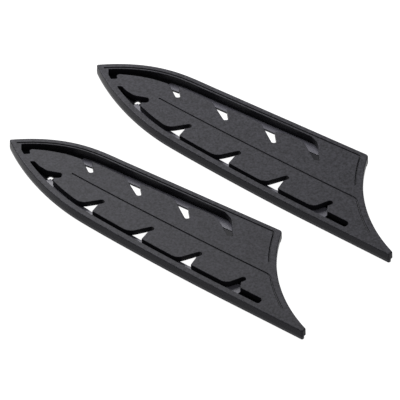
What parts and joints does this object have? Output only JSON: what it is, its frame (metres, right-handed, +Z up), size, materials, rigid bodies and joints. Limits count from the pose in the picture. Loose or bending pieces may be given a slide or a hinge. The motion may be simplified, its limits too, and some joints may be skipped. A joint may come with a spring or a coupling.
{
  "type": "knife blade guards",
  "caption": "Pair of flat moulded knife blade guards with a pointed tip, a hollow open heel, a fingered gripping panel and a windowed back.",
  "frame": {"origin": "middle of the pair's box, on the surface that the guards lie on", "axes": "+X from the tips to the tails, +Y from the near guard to the far guard and from cutting edge to spine, +Z up"},
  "size_m": [0.2162, 0.1328, 0.006],
  "materials": {
    "front_plastic": "fine spark-eroded mould texture with smoother rounded edges",
    "back_plastic": "semi-gloss mould surface on the inner ledges, fine texture outside"
  },
  "bodies": {
    "near_guard": {"near_guard_front_shell": "front_plastic", "near_guard_back_shell": "back_plastic"},
    "far_guard": {"far_guard_front_shell": "front_plastic", "far_guard_back_shell": "back_plastic"}
  },
  "joints": [
    {"name": "far_guard_lift", "type": "slide", "parent": "near_guard", "child": "far_guard", "axis": [0, 0, 1], "range_m": [0, 0.1]}
  ]
}
